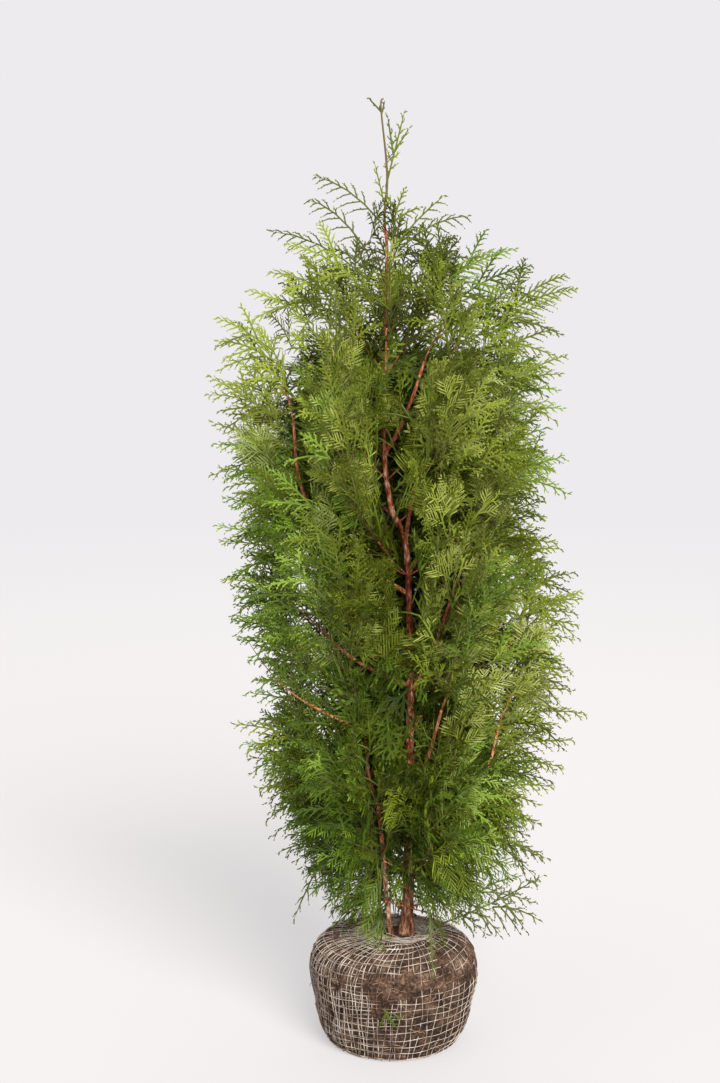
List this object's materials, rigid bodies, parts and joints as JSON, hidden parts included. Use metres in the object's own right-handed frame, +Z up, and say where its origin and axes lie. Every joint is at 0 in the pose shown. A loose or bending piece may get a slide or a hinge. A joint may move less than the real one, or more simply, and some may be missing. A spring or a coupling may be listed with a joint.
{
  "type": "root-balled thuja",
  "caption": "Young columnar thuja with a leading trunk, rising boughs and tiered masses of foliage, standing on a flat-bottomed root ball wrapped in sacking and net.",
  "frame": {"origin": "middle of the root ball's flat underside, which stands on the ground", "axes": "+Z up along the trunk, +X the plant's right and -Y its front as pictured, in metres"},
  "size_m": [0.6405, 0.5096, 1.566],
  "materials": {
    "foliage": "matt green scale-like foliage",
    "bark": "rough reddish-brown bark",
    "wrapped_soil": "dark brown soil in thin sacking under a pale string net"
  },
  "bodies": {
    "root": {"bough_chest_left": "bark", "bough_chest_right": "bark", "bough_middle_back_right": "bark", "bough_middle_front_right": "bark", "bough_middle_left": "bark", "bough_middle_right": "bark", "bough_shoulder_back_left": "bark", "bough_shoulder_front_right": "bark", "bough_upper_left": "bark", "bough_upper_right": "bark", "foliage_breast_right": "foliage", "foliage_chest_back": "foliage", "foliage_chest_front_left": "foliage", "foliage_chest_front_right": "foliage", "foliage_chest_left": "foliage", "foliage_chest_right": "foliage", "foliage_crown_back": "foliage", "foliage_crown_front": "foliage", "foliage_crown_left": "foliage", "foliage_crown_right": "foliage", "foliage_leader_spray": "foliage", "foliage_low_back_left": "foliage", "foliage_low_back_right": "foliage", "foliage_low_front_left": "foliage", "foliage_low_front_right": "foliage", "foliage_low_left": "foliage", "foliage_low_right": "foliage", "foliage_middle_back_left": "foliage", "foliage_middle_back_right": "foliage", "foliage_middle_front_left": "foliage", "foliage_middle_front_right": "foliage", "foliage_middle_left": "foliage", "foliage_middle_right": "foliage", "foliage_shoulder_back_left": "foliage", "foliage_shoulder_back_right": "foliage", "foliage_shoulder_front_left": "foliage", "foliage_shoulder_front_right": "foliage", "foliage_shoulder_left": "foliage", "foliage_shoulder_right": "foliage", "foliage_skirt_back": "foliage", "foliage_skirt_front_left": "foliage", "foliage_skirt_front_right": "foliage", "foliage_skirt_left": "foliage", "foliage_skirt_right": "foliage", "foliage_top_left_arch": "foliage", "foliage_top_right_arch": "foliage", "foliage_upper_back": "foliage", "foliage_upper_front_left": "foliage", "foliage_upper_front_right": "foliage", "foliage_upper_left": "foliage", "foliage_upper_right": "foliage", "foliage_waist_back": "foliage", "foliage_waist_front_left": "foliage", "foliage_waist_front_right": "foliage", "foliage_waist_left": "foliage", "foliage_waist_right": "foliage", "root_ball": "wrapped_soil", "side_stem": "bark", "trunk": "bark"}
  },
  "joints": []
}
